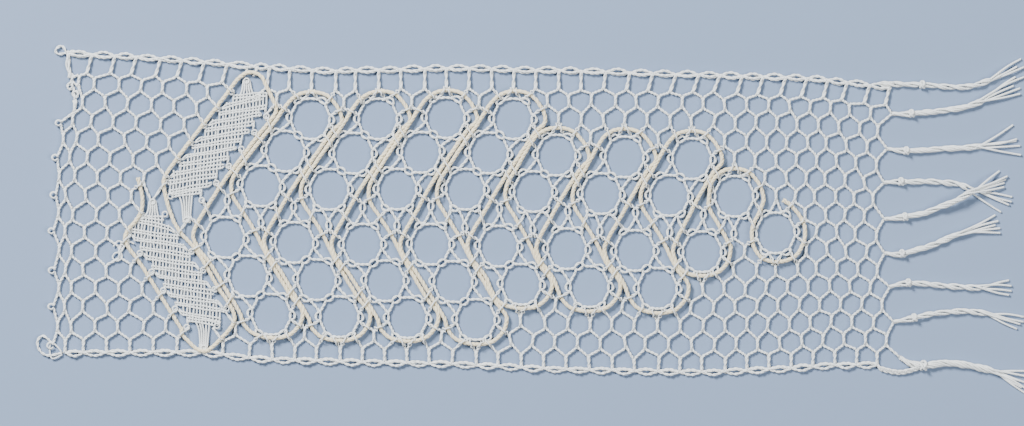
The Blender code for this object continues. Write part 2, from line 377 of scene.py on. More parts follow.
@dataclass(frozen=True)
class Thread:
    """The fine cotton thread and how its pairs are worked, in mm."""

    radius: float = 0.103
    gap: float = 0.086
    height: float = 0.30
    half_turns: int = 3
    short_half_turns: int = 2
    short_leg: float = 1.1
    leg_step: float = 0.22
    fewest_points: int = 6


@dataclass
class Stitch:
    """What is worked at one pinhole: its middle, the way it lies and its half sizes in mm.

    `half_width` is that on the side of `across`, and `other_width` that on an eyelet's other side.
    """

    place: Place
    kind: Kind
    middle: np.ndarray
    lie: np.ndarray
    half_length: float
    half_width: float
    other_width: float = 0.0

    @property
    def across(self) -> np.ndarray:
        """The level direction square to the stitch."""
        return np.array([self.lie[1], -self.lie[0]])

    def corner(self, end: int, side: int) -> np.ndarray:
        """One corner of the stitch: end is 1 or -1 along it, side is 1 or -1 across it."""
        return self.middle + end * self.half_length * self.lie + side * self.half_width * self.across


@dataclass
class GimpRoute:
    """The course of the thick thread through the pattern, in columns and rows.

    The elbows are given from a band's first column, and the turns from the middle of its last hole.
    """

    pricking: Pricking
    gap: float = 0.235
    step: float = 0.35
    upper_rows: Point = (2.2, 5.3)
    upper_start: float = 0.7
    outer_elbow: tuple[Point, ...] = ((-4.3, 7.2), (-5.3, 8.3), (-5.7, 9.0), (-5.3, 9.7))
    down_rows: tuple[float, ...] = (10.6, 11.8, 13.0, 14.2)
    lower_turn: tuple[Point, ...] = (
        (-2.4, 0.65), (-1.5, 1.15), (0.1, 1.3), (1.5, 1.1), (2.45, 0.5), (2.7, -0.25),
    )
    back_rows: tuple[float, ...] = (12.0, 10.9, 9.9)
    inner_elbow: tuple[Point, ...] = ((-0.5, 8.5), (-1.5, 7.5), (-2.4, 6.6))
    up_rows: tuple[float, ...] = (4.7, 3.5, 2.4)
    upper_turn: tuple[Point, ...] = (
        (-2.24, -0.72), (-1.45, -1.27), (-0.3, -1.51), (1.2, -1.38), (2.35, -0.72), (2.85, 0.12),
    )
    start: tuple[Point, ...] = ((5.46, 6.0), (5.9, 7.2), (5.64, 8.06), (4.68, 8.9), (4.6, 9.5))
    leaves: tuple[Point, ...] = (
        (9.4, 14.4), (10.6, 15.2), (11.3, 15.35), (11.9, 15.15), (13.2, 14.25), (13.85, 13.6), (13.7, 12.9),
        (12.4, 11.7), (11.4, 10.6), (10.4, 9.65), (9.1, 8.78), (8.3, 7.8), (7.8, 6.8), (7.65, 6.06),
        (8.0, 5.56), (8.87, 4.71), (10.63, 2.98), (12.41, 1.07), (13.26, 0.13), (14.13, -0.19),
        (15.09, -0.03), (15.91, 0.6), (16.48, 1.09), (16.91, 1.63),
    )
    last_ring: tuple[Point, ...] = (
        (60.4, 6.9), (59.8, 7.6), (59.7, 8.4), (60.2, 9.15), (61.2, 9.55), (62.6, 9.6),
        (63.9, 9.3), (64.7, 8.6), (64.9, 7.8), (64.4, 7.1), (63.5, 6.5), (62.6, 6.15),
    )

    def band(self, band: int) -> list[Point]:
        """Grid places round one lower arm, up between the bands and over the upper arm.

        Args:
            band: Number of the band, from 0 for the leaves.

        Returns:
            Columns and rows.
        """
        pattern = self.pricking
        top, bottom = pattern.arm_tops[band], pattern.arm_bottoms[band]
        first = pattern.first_arm + pattern.arm_step * band
        gap = self.gap
        route: list[Point] = []
        if band:
            # Down the upper arm, three columns before its holes, to the elbow.
            row = pattern.arm_tops[band - 1] + self.upper_start if band > 1 else self.upper_rows[0]
            while row < self.upper_rows[1]:
                route.append((first + 3 - gap - row, row))
                row += 1
            route.append((first - 3 - gap, 6.0))
            route += [(first + across, row) for across, row in self.outer_elbow]
        # Down the lower arm, three columns before its holes.
        route += [(first - 15 + gap + row, row) for row in self.down_rows if row < bottom + 0.3]
        if band:
            # Round the last hole, back up three columns after the holes, and round the first hole.
            below = first - 12 + bottom
            route += [(below + across, bottom + down) for across, down in self.lower_turn]
            route += [(first - 9 - gap + row, row) for row in self.back_rows if row < bottom - 0.9]
            route += [(first + across, row) for across, row in self.inner_elbow]
            route.append((first - 2.6 + gap, 5.7))
            route += [(first + 3 + gap - row, row) for row in self.up_rows if row > top]
            above = first + 6 - top
            route += [(above + across, top + down) for across, down in self.upper_turn]
        return route

    def line(self) -> np.ndarray:
        """The whole course.

        Returns:
            x and y in mm, from the first cut end to the last.
        """
        route = [*self.start, *self.band(0), *self.leaves]
        for band in range(1, len(self.pricking.arm_tops)):
            route += self.band(band)
        places = [self.pricking.at(column, row) for column, row in (*route, *self.last_ring)]
        return smooth(places, self.step)


@dataclass
class Net:
    """The net of pairs: bars, eyelets and the legs between them. Sizes are in mm."""

    pricking: Pricking
    thread: Thread
    gimp: np.ndarray
    gimp_height: float = 0.52
    gimp_clear: float = 0.36
    gimp_slack: float = 0.34
    gimp_near: float = 2.5
    bar: Point = (0.74, 0.11)
    bar_rise: float = 0.09
    eyelet: Point = (0.5, 0.3)
    eyelet_rise: float = 0.07
    eyelet_overlap: float = 0.05
    eyelet_fullness: float = 0.8
    eyelet_tightness: Point = (0.96, 0.9)
    bar_pull: float = 0.05
    eyelet_pull: float = 0.35
    ring_line: float = 2.36
    ring_margin: float = 0.1
    ring_widths: tuple[float, float] = (0.5, 0.1)
    shared_width: float = 0.36
    ring_squeeze: float = 0.93
    ring_reach: float = 3.4
    ring_fullness: float = 0.6
    start_radius: float = 0.38
    start_angles: tuple[int, int, int] = (-150, 170, 14)
    start_shrink: float = 0.12
    start_stretch: float = 1.05
    start_rise: Point = (0.12, 0.1)
    start_exit: Point = (0.28, 0.1)
    unevenness: float = 0.08
    height_sway: float = 0.03
    leaf_width: float = 0.06
    start_width: float = 0.1
    exit_width: float = 0.12
    leg_offset: float = 0.08
    first_column: int = -3
    no_start: Place = (-3, 1)
    not_joined: tuple[Place, Place] = ((-1, 1), (-2, 2))
    last_band_column: int = 62
    row_shifts: tuple[float, float] = (0.75, 0.4)
    shift_columns: int = 60
    top_drop: float = 0.35
    seed: int = 11
    upper_leaf: tuple[Place, ...] = (
        (14, 0), (13, 1), (12, 2), (11, 3), (10, 4), (9, 5), (8, 6),
        (15, 1), (16, 2), (15, 3), (14, 4), (13, 5), (12, 6), (11, 7), (10, 8),
    )
    upper_inside: tuple[Place, ...] = ((14, 2), (13, 3), (12, 4), (11, 5), (10, 6), (9, 7))
    lower_leaf: tuple[Place, ...] = (
        (7, 7), (6, 8), (5, 9), (6, 10), (7, 11), (8, 12), (9, 13), (10, 14),
        (8, 8), (9, 9), (10, 10), (11, 11), (12, 12), (13, 13), (12, 14), (11, 15),
    )
    lower_inside: tuple[Place, ...] = ((7, 9), (8, 10), (9, 11), (10, 12), (11, 13))
    moved: tuple[tuple[Place, Point], ...] = (
        ((-2, 0), (-0.4, -1.07)), ((-2, 2), (0.95, -0.5)), ((7, 7), (-0.45, -0.62)), ((-3, 3), (0.0, -0.55)),
    )
    stitches: dict[Place, Stitch] = field(default_factory=dict)

    def __post_init__(self) -> None:
        """Places every stitch."""
        self.chance = random.Random(self.seed)
        self.rings = {place: self.pricking.at(*place) for place in self.pricking.rings()}
        self.ring_middles = np.array(list(self.rings.values()))
        left_out = {*self.rings, *self.upper_inside, *self.lower_inside, self.no_start}
        for row in range(self.pricking.last_row + 1):
            for column in range(self.first_column, self.pricking.last_column + 2):
                place = (column, row)
                if (column + row) % 2 == 0 and place not in left_out:
                    self.stitches[place] = self.stitch(place)

    def stitch(self, place: Place) -> Stitch:
        """Works out what is at one pinhole.

        Args:
            place: Column and row.

        Returns:
            The stitch.
        """
        column, row = place
        still = self.pricking.at(column, row) + np.array(dict(self.moved).get(place, (0.0, 0.0)))
        middle = still + np.array([self.chance.gauss(0, self.unevenness) for _ in range(2)])
        if row < len(self.row_shifts) and column >= 0:
            middle[0] -= self.row_shifts[row] * (1 - column / self.shift_columns)
        if row == 0 and column >= 0:
            middle[1] -= self.top_drop
        upright = np.array([self.unevenness * self.chance.gauss(0, 1), 1.0])
        upright /= np.linalg.norm(upright)
        if place in self.upper_leaf or place in self.lower_leaf:
            return Stitch(place, Kind.LEAF, still, upright, 0.0, self.leaf_width)
        if column <= self.first_column:
            return Stitch(place, Kind.START, middle, upright, 0.0, self.start_width)
        if column > self.pricking.last_column:
            return Stitch(place, Kind.EXIT, middle, upright, 0.0, self.exit_width)
        ring = self.nearest_ring(middle)
        if ring is not None:
            return self.ring_stitch(place, middle, ring)
        if place in self.between_bands():
            return Stitch(place, Kind.EYELET, middle, upright, *self.eyelet, self.eyelet[1])
        return Stitch(place, Kind.BAR, middle, upright, *self.bar)

    def ring_stitch(self, place: Place, middle: np.ndarray, ring: np.ndarray) -> Stitch:
        """The eyelet beside a round hole, which lies along the hole's edge.

        Args:
            place: Column and row.
            middle: Where the pinhole is, in mm.
            ring: Middle of the hole, in mm.

        Returns:
            The stitch. Beside one hole only, its inner pair keeps to the hole's edge.
        """
        length = self.eyelet[0]
        outward = middle - ring
        lie = np.array([-outward[1], outward[0]]) / np.linalg.norm(outward)
        lie = lie if lie[1] > 0 else -lie
        if self.rings_near(middle) > 1:
            return Stitch(place, Kind.EYELET, middle, lie, length, self.shared_width, self.shared_width)
        reach = math.hypot(outward[0], outward[1] * self.ring_squeeze)
        middle = ring + outward * (self.ring_line + self.ring_margin) / reach
        outer, inner = self.ring_widths
        facing = outward @ np.array([lie[1], -lie[0]]) > 0
        widths = (outer, inner) if facing else (inner, outer)
        return Stitch(place, Kind.EYELET, middle, lie, length, *widths)

    def between_bands(self) -> set[Place]:
        """The pinholes at the elbows between two bands, which have eyelets too."""
        pattern = self.pricking
        firsts = range(pattern.first_arm + pattern.arm_step, self.last_band_column, pattern.arm_step)
        return {place for first in firsts for place in ((first - 3, 7), (first, 8))}

    def nearest_ring(self, point: np.ndarray) -> np.ndarray | None:
        """Middle of the round hole that a point lies beside, if any."""
        away = np.linalg.norm(self.ring_middles - point, axis=1)
        return self.ring_middles[away.argmin()] if away.min() < self.ring_reach else None

    def rings_near(self, point: np.ndarray) -> int:
        """How many round holes a point lies beside."""
        return int((np.linalg.norm(self.ring_middles - point, axis=1) < self.ring_reach).sum())

    def legs(self) -> list[tuple[Place, Place]]:
        """The pairs of stitches that a leg joins.

        Returns:
            The grid places of the two stitches of each leg.
        """
        found = []
        leaves = (set(self.upper_leaf), set(self.lower_leaf))
        for column, row in self.stitches:
            for side in (-1, 1):
                ends = ((column, row), (column + side, row + 1))
                if ends[1] in self.stitches and not any(set(ends) <= leaf for leaf in leaves):
                    found.append(ends)
        for column, row in self.rings:
            for down in (-1, 1):
                found.append(((column - 1, row + down), (column + 1, row + down)))
        return [ends for ends in found if ends != self.not_joined]

    def meets(self, here: Stitch, there: Stitch) -> np.ndarray:
        """Where a leg leaves a stitch.

        Args:
            here: The stitch that the leg leaves.
            there: The stitch that it runs to.

        Returns:
            The level point.
        """
        away = there.middle - here.middle
        away = away / np.linalg.norm(away)
        if here.kind is Kind.BAR:
            end = 1 if there.place[1] < here.place[1] else -1
            side = 1 if there.place[0] > here.place[0] else -1
            return here.corner(end, side)
        if here.kind is Kind.EYELET:
            return here.corner(1 if away @ here.lie > 0 else -1, 0)
        if here.kind is Kind.START:
            across, up = self.start_exit
            return here.middle + np.array([across, up if away[1] > 0 else -up])
        return here.middle + self.leg_offset * away

    def leaving(self, here: Stitch, start: np.ndarray, end: np.ndarray) -> np.ndarray:
        """The direction in which a leg leaves a stitch.

        Args:
            here: The stitch.
            start: The leg's end at the stitch.
            end: The leg's other end.

        Returns:
            A level unit vector.
        """
        away = (end - start) / np.linalg.norm(end - start)
        pull = self.eyelet_pull if here.kind is Kind.EYELET else self.bar_pull
        heading = away + pull * (1 if away @ here.lie > 0 else -1) * here.lie
        return heading / np.linalg.norm(heading)

    def crossings(self, line: np.ndarray) -> list[float]:
        """Shares of a leg's length at which the thick thread crosses it.

        Args:
            line: The leg's middle, x and y.

        Returns:
            The shares, from 0 to 1, in order.
        """
        near = np.linalg.norm(self.gimp - line[len(line) // 2], axis=1) < self.gimp_near
        found = []
        starts = np.flatnonzero(near[:-1] & near[1:])
        for index, (a, b) in enumerate(zip(line, line[1:])):
            leg = b - a
            run = self.gimp[starts + 1] - self.gimp[starts]
            off = self.gimp[starts] - a
            cross = leg[0] * run[:, 1] - leg[1] * run[:, 0]
            cross = np.where(np.abs(cross) < TINY, TINY, cross)
            t = (off[:, 0] * run[:, 1] - off[:, 1] * run[:, 0]) / cross
            s = (off[:, 0] * leg[1] - off[:, 1] * leg[0]) / cross
            hit = (t >= 0) & (t < 1) & (s >= 0) & (s < 1)
            found += [(index + value) / (len(line) - 1) for value in t[hit]]
        return sorted(found)

    def leg_line(self, first: Stitch, second: Stitch) -> np.ndarray:
        """The level middle line of one leg.

        Args:
            first: The stitch it leaves.
            second: The stitch it reaches.

        Returns:
            x and y at each point.
        """
        start, end = self.meets(first, second), self.meets(second, first)
        leaving, arriving = self.leaving(first, start, end), self.leaving(second, end, start)
        length = float(np.linalg.norm(end - start))
        count = max(self.thread.fewest_points, round(length / self.thread.leg_step)) + 1
        t = np.linspace(0, 1, count)[:, None]
        line = (2 * t**3 - 3 * t**2 + 1) * start + (t**3 - 2 * t**2 + t) * length * leaving
        line = line + (3 * t**2 - 2 * t**3) * end - (t**3 - t**2) * length * arriving
        for ring in self.rings.values():
            ends = (np.linalg.norm(stitch.middle - ring) for stitch in (first, second))
            if max(ends) < self.ring_reach:
                away = line - ring
                reach = np.hypot(away[:, 0], away[:, 1] * self.ring_squeeze)
                ease = np.sin(math.pi * t[:, 0]) ** self.ring_fullness
                line = ring + away * (1 + ease * (self.ring_line / reach - 1))[:, None]
        return line

    def work_leg(self, mesh: ThreadMesh, line: np.ndarray) -> None:
        """Lays a twisted pair along a leg, opened round the thick thread where that passes through.

        Args:
            mesh: The mesh that takes the threads.
            line: The leg's middle, x and y.
        """
        thread = self.thread
        share = np.linspace(0, 1, len(line))
        length = float(np.linalg.norm(np.diff(line, axis=0), axis=1).sum())
        turns = thread.half_turns if length > thread.short_leg else thread.short_half_turns
        shift = self.chance.choice((0.0, 0.5))
        angle = math.pi * (turns * share + shift)
        height = np.full(len(line), thread.height) + self.height_sway * self.chance.gauss(0, 1)
        gap = np.full(len(line), thread.gap)
        crossed = self.crossings(line)
        if crossed:
            slack = self.gimp_slack / length
            middle = math.pi * (turns // 2 + 0.5 if turns % 2 else 0.5)
            low, high = max(crossed[0] - slack, 0.05), min(crossed[-1] + slack, 0.95)
            angle = np.interp(share, [0, low, high, 1], [0, middle, middle, math.pi * turns])
            over = np.interp(share, [low - slack, low, high, high + slack], [0, 1, 1, 0])
            over = over * over * (3 - 2 * over)
            gap = gap + over * (self.gimp_clear - gap)
            height = height + over * (self.gimp_height - height)
        mesh.twisted(level(line, height), angle, thread.radius, gap)

    def work_bar(self, mesh: ThreadMesh, stitch: Stitch) -> None:
        """Works two pairs that cross in an upright bar.

        Args:
            mesh: The mesh that takes the threads.
            stitch: The stitch.
        """
        share = np.linspace(0, 1, self.thread.fewest_points)[:, None]
        for side in (1, -1):
            top, bottom = stitch.corner(1, side), stitch.corner(-1, -side)
            line = top + (bottom - top) * share
            height = self.thread.height + side * self.bar_rise * np.sin(math.pi * share[:, 0])
            mesh.pair(level(line, height), 2, self.thread.radius, self.thread.gap)

    def work_eyelet(self, mesh: ThreadMesh, stitch: Stitch) -> None:
        """Works two pairs that part round a small hole and meet again.

        Args:
            mesh: The mesh that takes the threads.
            stitch: The stitch.
        """
        thin, close = self.eyelet_tightness
        share = np.linspace(0, 1, 8)
        for side in (1, -1):
            along = np.cos(math.pi * share) * (stitch.half_length + self.eyelet_overlap)
            width = stitch.half_width if side > 0 else stitch.other_width
            away = side * width * np.sin(math.pi * share) ** self.eyelet_fullness
            line = stitch.middle + np.outer(along, stitch.lie) + np.outer(away, stitch.across)
            height = self.thread.height + side * self.eyelet_rise * np.cos(math.pi * share)
            mesh.pair(level(line, height), 2, self.thread.radius * thin, self.thread.gap * close)

    def work_start(self, mesh: ThreadMesh, stitch: Stitch) -> None:
        """Works the little loop of two turns that a pair was hung in by, at the left end.

        Args:
            mesh: The mesh that takes the threads.
            stitch: The stitch.
        """
        angle = np.radians(np.linspace(*self.start_angles))
        radius = self.start_radius + self.height_sway * self.chance.gauss(0, 1)
        for turn in (0, 1):
            reach = radius * (1 - self.start_shrink * turn)
            x, y = -reach * np.cos(angle) * self.start_stretch, reach * np.sin(angle)
            line = stitch.middle + np.column_stack([x, y])
            height = self.thread.height + self.start_rise[0] * turn + self.start_rise[1] * np.cos(angle / 2)
            mesh.add(level(line, height), self.thread.radius)

    def build(self) -> list[bpy.types.Object]:
        """Makes the ground net and the bands' filling.

        Returns:
            The two pieces.
        """
        ground, filling = ThreadMesh(), ThreadMesh()
        for first, second in self.legs():
            stitches = self.stitches[first], self.stitches[second]
            inside = all(stitch.kind is Kind.EYELET for stitch in stitches)
            self.work_leg(filling if inside else ground, self.leg_line(*stitches))
        for stitch in self.stitches.values():
            if stitch.kind is Kind.BAR and 0 < stitch.place[1] < self.pricking.last_row:
                self.work_bar(ground, stitch)
            elif stitch.kind is Kind.EYELET:
                self.work_eyelet(filling, stitch)
            elif stitch.kind is Kind.START:
                self.work_start(ground, stitch)
        return [ground.build("ground_net"), filling.build("band_filling")]


@dataclass
class Footside:
    """A long border: pairs that cross at every bar, with a small eyelet between bars.

    The bars of the upper border lean towards both ends and are upright midway: `upright` gives the
    middle column, the columns on each side of it that stay upright, and those in which the lean grows.
    """

    net: Net
    upper: bool
    tail: tuple[Point, ...] = ()
    lean: float = 0.7
    start_lean: float = -0.25
    upright: tuple[float, float, float] = (32, 11, 9)
    inset: float = 0.5
    outer: float = 0.1
    inner: float = 0.78
    third_share: float = 0.88
    lifts: tuple[float, float, float] = (0.1, -0.08, 0.12)
    tail_spread: Point = (0.16, 0.1)
    tight: float = 0.8
    bar_spread: float = 0.1
    leaf_spread: float = 0.6
    bar_rise: float = 0.08
    step: float = 0.2
    sway: float = 0.03
    twist_length: float = 0.7

    def marks(self) -> list[tuple[Place, np.ndarray]]:
        """The stitches of the border's row, each with the point where its bar meets the border.

        Returns:
            Grid places and points, from left to right.
        """
        row = 0 if self.upper else self.net.pricking.last_row
        found = []
        for place, stitch in self.net.stitches.items():
            if place[1] != row or stitch.kind not in (Kind.BAR, Kind.LEAF):
                continue
            x = stitch.middle[0]
            if self.upper:
                x += self.lean_at(place[0])
            found.append((place, np.array([x, self.height(x, self.inset)])))
        return sorted(found, key=lambda mark: mark[0][0])

    def lean_at(self, column: int) -> float:
        """How far the bar at a column of the upper row leans, in mm at its top.

        Args:
            column: The bar's column.

        Returns:
            The lean, to the right where positive.
        """
        middle, reach, ease = self.upright
        if column < 0:
            return self.start_lean
        return self.lean * min(max((abs(column - middle) - reach) / ease, 0), 1)

    def height(self, x: float, inset: float) -> float:
        """The y at x of a line that runs inside the border's edge by an inset."""
        edge = self.net.pricking.border(self.upper, x)
        return edge - inset if self.upper else edge + inset

    def build(self) -> bpy.types.Object:
        """Works the border and the bars that hang from it.

        Returns:
            The piece.
        """
        mesh = ThreadMesh()
        thread, chance = self.net.thread, self.net.chance
        marks = self.marks()
        strands: list[list[np.ndarray]] = [[], [], []]
        for index, (_, mark) in enumerate(marks):
            for strand in strands:
                strand.append(np.array([*mark, thread.height]) + self.sway * chance.gauss(0, 1))
            if index + 1 == len(marks):
                break
            x = (mark[0] + marks[index + 1][1][0]) / 2
            outer = self.outer + self.sway * chance.gauss(0, 1)
            inner = self.inner + self.sway * chance.gauss(0, 1)
            near, far = (inner, outer) if index % 2 else (outer, inner)
            insets = (near, far, self.third_share * inner)
            for strand, inset, lift in zip(strands, insets, self.lifts):
                strand.append(np.array([x, self.height(x, inset), thread.height + lift]))
        centre = np.array([*self.net.pricking.centre, 0])
        across, up = self.tail_spread
        for number, strand in enumerate(strands):
            for point in self.tail:
                away = np.array([0.0, across * (number - 1), up * number])
                strand.append(np.array([*point, thread.height]) - centre + away)
            line = smooth(strand, self.step)
            run = float(np.linalg.norm(np.diff(line, axis=0), axis=1).sum())
            gap = thread.gap * (self.tight if number == 2 else 1.0)
            mesh.pair(line, run / self.twist_length, thread.radius, gap)
        for place, mark in marks:
            self.work_bar(mesh, self.net.stitches[place], mark)
        return mesh.build("upper_footside" if self.upper else "lower_footside")

    def work_bar(self, mesh: ThreadMesh, stitch: Stitch, mark: np.ndarray) -> None:
        """The bar between a stitch of the border's row and the border.

        Args:
            mesh: The mesh that takes the threads.
            stitch: The stitch.
            mark: Where the bar meets the border.
        """
        thread = self.net.thread
        away = -1 if self.upper else 1
        spread = self.leaf_spread if stitch.kind is Kind.LEAF and self.upper else self.bar_spread
        for side in (1, -1):
            if stitch.kind is Kind.BAR:
                near, shift = stitch.corner(away, side), -side * self.bar_spread
            else:
                near, shift = stitch.middle + np.array([side * spread, 0.0]), side * spread
            far = mark + np.array([shift, 0.0])
            line = smooth([near, (near + far) / 2, far], self.step)
            height = thread.height + side * self.bar_rise * np.sin(math.pi * np.linspace(0, 1, len(line)))
            mesh.pair(level(line, height), 3, thread.radius, thread.gap)


@dataclass
class Leaf:
    """A leaf worked in cloth stitch: workers that run across passives, with a loop at each pin.

    Each block of rows between two pins steps sideways from the one above. `left` and `right` are the
    columns of the pins down each side, and `tips` the middles of the two end loops, in mm.
    """

    net: Net
    name: str
    first_row: int
    left: tuple[float, ...]
    right: tuple[float, ...]
    rising: bool
    tips: tuple[Point, Point]
    first_trail: int = 1
    leading_overhang: float = 0.05
    overhang: float = 0.25
    slope_rows: float = 0.2
    first_slope: float = 0.1
    last_slopes: Point = (-0.1, -0.35)
    fill: float = 0.45
    passive_pitch: float = 0.41
    passive_slope: float = 0.05
    worker_split: float = 0.19
    weave: float = 0.085
    radius: float = 0.112
    lift: float = 0.02
    sway: float = 0.035
    step: float = 0.2
    passive_step: float = 0.16
    reaches: Point = (0.7, 0.9)
    tail_share: float = 0.3
    bundle: int = 5
    bundle_pitch: float = 0.27
    bundle_short: float = 0.2
    bundle_spreads: Point = (1.1, 0.8)
    bundle_waist: float = 0.35
    loop_radius: float = 0.35
    loop_thread: float = 0.088
    loop_shift: Point = (0.27, 0.17)
    loop_lifts: tuple[float, float, float] = (0.04, 0.13, 0.04)

    def pin(self, leading: bool, number: int) -> np.ndarray:
        """The place of a pin.

        Args:
            leading: Whether it is on the side that the rows fall towards.
            number: The pin's number from the top.

        Returns:
            x and y in mm.
        """
        columns = self.left if leading == self.rising else self.right
        return self.net.pricking.at(columns[number], self.first_row + number)

    def edge(self, leading: bool, number: int, row: float, toward: int | None = None) -> np.ndarray:
        """The cloth's edge at a row, by one pin or part of the way from it toward another.

        Args:
            leading: Whether it is on the side that the rows fall towards.
            number: The pin's number from the top.
            row: Row of the grid, which may be a fraction.
            toward: Number of the other pin, if any.

        Returns:
            x and y in mm.
        """
        x = self.pin(leading, number)[0]
        if toward is not None:
            x += self.fill * (self.pin(leading, toward)[0] - x)
        outward = -1 if leading == self.rising else 1
        y = self.net.pricking.at(self.left[number], row)[1]
        return np.array([x + outward * (self.leading_overhang if leading else self.overhang), y])

    def tip(self, end: int) -> np.ndarray:
        """Middle of the loop at one end of the leaf, in the model's own frame."""
        return np.array(self.tips[end]) - np.array(self.net.pricking.centre)

    def worker_rows(self) -> list[list[np.ndarray]]:
        """The points that each row of the workers runs through, from the top down.

        Returns:
            For each row its pin, the cloth's two edges and its other pin, from left to right.
        """
        lift, found = self.slope_rows, []
        count = len(self.left)
        for number in range(count):
            row = self.first_row + number
            last = number == count - 1
            trail = number if number else self.first_trail
            falls = self.last_slopes if last else (lift, -lift if number else self.first_slope)
            first = self.edge(True, number, row + falls[0])
            second = self.edge(False, trail, row + falls[1])
            after = self.pin(False, number) if number else second
            found.append([self.pin(True, number), first, second, after])
            if not last:
                first = self.edge(True, number, row + 0.5 + lift, number + 1)
                second = self.edge(False, number + 1, row + 0.5 - lift, number)
                found.append([self.pin(True, number + 1), first, second, self.pin(False, number)])
        return found if self.rising else [row[::-1] for row in found]

    def short_of(self, pin: np.ndarray, edge: np.ndarray) -> np.ndarray:
        """The point at which a row meets the loop round a pin.

        Args:
            pin: The pin's place.
            edge: The end of the row at the cloth's edge.

        Returns:
            x and y in mm.
        """
        away = edge - pin
        return pin + away * min(self.loop_radius / max(float(np.linalg.norm(away)), TINY), 1)

    def passive_index(self, points: np.ndarray) -> np.ndarray:
        """How many passives along each point is, counted from the leaf's own zero line."""
        return (points[:, 0] - self.passive_slope * points[:, 1]) / self.passive_pitch

    def build(self) -> bpy.types.Object:
        """Weaves the leaf.

        Returns:
            The piece.
        """
        mesh = ThreadMesh()
        height = self.net.thread.height + self.lift
        fewest, chance = self.net.thread.fewest_points, self.net.chance
        lines = []
        for before, start, end, after in self.worker_rows():
            before, after = self.short_of(before, start), self.short_of(after, end)
            for split in (self.worker_split, -self.worker_split):
                shift = split + self.sway * chance.gauss(0, 1)
                inner = (start + [0, shift], end + [0, shift])
                lines.append(inner)
                count = max(fewest, round(float(np.linalg.norm(end - start)) / self.step))
                share = np.linspace(0, 1, count)
                cloth = inner[0] + (inner[1] - inner[0]) * share[:, None]
                wander = np.sin(math.pi * (share * chance.uniform(1, 3) + len(lines)))
                cloth[:, 1] += 1.5 * self.sway * wander
                away = [0, 0.4 * shift]
                line = smooth([before + away, *cloth, after + away], self.step)
                wave = np.cos(math.pi * (self.passive_index(line) + len(lines) - 1))
                mesh.add(level(line, height - self.weave * wave), self.radius)
        self.work_passives(mesh, lines, height)
        self.work_loops(mesh)
        return mesh.build(self.name)

    def work_passives(self, mesh: ThreadMesh, lines: list[tuple], height: float) -> None:
        """Lays the passives over and under the workers, and gathers some at the leaf's two tips.

        Args:
            mesh: The mesh that takes the threads.
            lines: The two ends of each worker thread.
            height: Height of the cloth's middle.
        """
        ends = np.array([point for line in lines for point in line])
        low, high = self.passive_index(ends).min(), self.passive_index(ends).max()
        runs = []
        for number in range(math.ceil(low), math.floor(high) + 1):
            places = []
            for index, (start, end) in enumerate(lines):
                along = self.passive_index(np.array([start, end]))
                share = (number - along[0]) / (along[1] - along[0])
                if -0.01 <= share <= 1.01:
                    over = self.weave * math.cos(math.pi * (number + index))
                    place = start + share * (end - start)
                    place = place + np.array([self.sway * self.net.chance.gauss(0, 1), 0.0])
                    places.append([*place, height + over])
            if len(places) > 1:
                runs.append((places, self.reach(places, lines)))
        for end in (0, 1):
            self.gather([places for places, reach in runs if reach[end]], end, height)
        for places, _ in runs:
            first, last = np.array(places[0]), np.array(places[-1])
            before = first + self.tail_share * (first - np.array(places[1]))
            after = last + self.tail_share * (last - np.array(places[-2]))
            line = smooth([before, *places, after], self.passive_step)
            line[:, 2] = np.maximum(line[:, 2], self.radius)
            mesh.add(line, self.radius)

    def gather(self, whole: list[list], end: int, height: float) -> None:
        """Runs the passives nearest one tip of the leaf on to the loop there.

        Args:
            whole: The points of each passive that reaches this end, which grow by two.
            end: 0 for the upper tip and 1 for the lower one.
            height: Height of the cloth's middle.
        """
        aim = self.tip(end)
        nearest = sorted(whole, key=lambda places: abs(places[-end][0] - aim[0]))[: self.bundle]
        nearest.sort(key=lambda places: places[-end][0])
        wide, narrow = self.bundle_spreads
        for order, places in enumerate(nearest):
            spread = (order - (len(nearest) - 1) / 2) * self.bundle_pitch
            near = np.array(places[-end])
            short = self.bundle_short if end else -self.bundle_short
            far = [aim[0] + narrow * spread, aim[1] + short, height]
            waist = [aim[0] + wide * spread, near[1] + self.bundle_waist * (far[1] - near[1]), height]
            places[:] = [*places, waist, far] if end else [far, waist, *places]

    def reach(self, places: list, lines: list) -> tuple[bool, bool]:
        """Whether a passive reaches the first and the last row of the workers.

        Args:
            places: The passive's points.
            lines: The two ends of each worker thread.

        Returns:
            One answer for the first row and one for the last.
        """
        top = max(lines[0][0][1], lines[0][1][1])
        bottom = min(lines[-1][0][1], lines[-1][1][1])
        return top - places[0][1] < self.reaches[0], places[-1][1] - bottom < self.reaches[1]

    def work_loops(self, mesh: ThreadMesh) -> None:
        """The loop of the workers round each pin.

        Args:
            mesh: The mesh that takes the threads.
        """
        low, step, sway = self.loop_lifts
        pins = [(self.tip(0), 0, 0), (self.tip(1), 0, 0)]
        for number in range(len(self.left)):
            for leading in (True, False):
                outward = -1 if leading == self.rising else 1
                pins.append((self.pin(leading, number), outward, 1 if leading else -1))
        for pin, outward, up in pins:
            angle = np.linspace(0, 2 * math.pi, 15) + (0 if outward < 0 else math.pi)
            middle = pin + np.array([outward, up]) * self.loop_shift
            for turn in (0, 1):
                reach = self.loop_radius * (1 - 0.1 * turn)
                line = middle + reach * np.column_stack([np.cos(angle), np.sin(angle)])
                height = self.net.thread.height + low + step * turn + sway * np.sin(angle)
                mesh.add(level(line, height), self.loop_thread)


